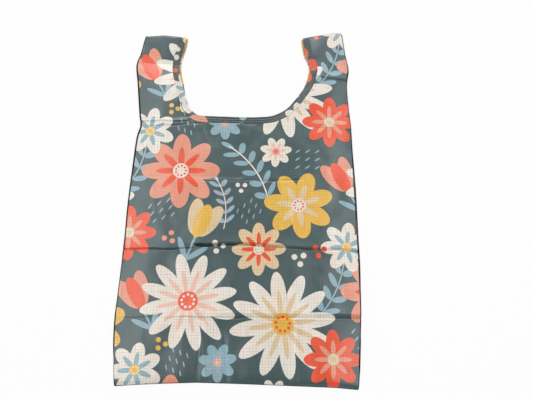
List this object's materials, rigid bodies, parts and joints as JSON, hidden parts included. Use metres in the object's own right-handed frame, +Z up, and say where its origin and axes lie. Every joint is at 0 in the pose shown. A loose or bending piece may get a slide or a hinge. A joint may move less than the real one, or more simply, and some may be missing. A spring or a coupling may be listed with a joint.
{
  "type": "fold-up shopping tote bag",
  "caption": "Flat fold-up shopping tote of thin printed ripstop with loop handles cut in one with the panels, a bound round neck and side gussets.",
  "frame": {"origin": "on the table under the middle of the bag's bounding box", "axes": "+Y from the bottom seam to the handles, +Z up out of the front panel, +X to the right as the front is seen"},
  "size_m": [0.3886, 0.604, 0.0129],
  "materials": {
    "printed_ripstop": "satin ripstop, slate green with a flower print",
    "binding_tape": "folded strip of the same printed ripstop, stitched along both edges",
    "gusset_ripstop": "satin ripstop, printed face turned into the fold",
    "seam_edge": "overlocked seam edge, dark"
  },
  "bodies": {
    "lower_body": {"front_panel_lower": "printed_ripstop", "back_panel_lower": "printed_ripstop", "left_gusset_lower": "gusset_ripstop", "right_gusset_lower": "gusset_ripstop", "bottom_seam": "seam_edge", "front_left_seam_lower": "seam_edge", "front_right_seam_lower": "seam_edge", "back_left_seam_lower": "seam_edge", "back_right_seam_lower": "seam_edge"},
    "upper_body": {"front_panel_upper": "printed_ripstop", "back_panel_upper": "printed_ripstop", "left_gusset_upper": "gusset_ripstop", "right_gusset_upper": "gusset_ripstop", "front_left_seam_upper": "seam_edge", "front_right_seam_upper": "seam_edge", "back_left_seam_upper": "seam_edge", "back_right_seam_upper": "seam_edge", "front_left_corner_binding": "binding_tape", "front_right_corner_binding": "binding_tape", "back_neck_binding": "binding_tape"},
    "mouth_lip": {"front_panel_lip": "printed_ripstop", "front_neck_binding": "binding_tape"},
    "left_handle": {"left_front_strap": "printed_ripstop", "left_back_strap": "printed_ripstop", "left_front_strap_lining": "gusset_ripstop", "left_back_strap_lining": "gusset_ripstop", "left_front_strap_binding": "binding_tape", "left_back_strap_binding": "binding_tape", "left_front_strap_seam": "seam_edge", "left_back_strap_seam": "seam_edge", "left_handle_top_seam": "seam_edge"},
    "right_handle": {"right_front_strap": "printed_ripstop", "right_back_strap": "printed_ripstop", "right_front_strap_lining": "gusset_ripstop", "right_back_strap_lining": "gusset_ripstop", "right_front_strap_binding": "binding_tape", "right_back_strap_binding": "binding_tape", "right_front_strap_seam": "seam_edge", "right_back_strap_seam": "seam_edge", "right_handle_top_seam": "seam_edge"}
  },
  "joints": [
    {"name": "body_fold", "type": "hinge", "parent": "lower_body", "child": "upper_body", "pos_m": [0, -0.082, 0.013], "axis": [1, 0, 0], "range_deg": [0, 165]},
    {"name": "mouth_open", "type": "hinge", "parent": "upper_body", "child": "mouth_lip", "pos_m": [0, -0.068, 0.0121], "axis": [1, 0, 0], "range_deg": [0, 12]},
    {"name": "left_handle_fold", "type": "hinge", "parent": "upper_body", "child": "left_handle", "pos_m": [-0.14, 0.178, 0.013], "axis": [1, 0, 0], "range_deg": [0, 175]},
    {"name": "right_handle_fold", "type": "hinge", "parent": "upper_body", "child": "right_handle", "pos_m": [0.14, 0.178, 0.013], "axis": [1, 0, 0], "range_deg": [0, 175]}
  ]
}
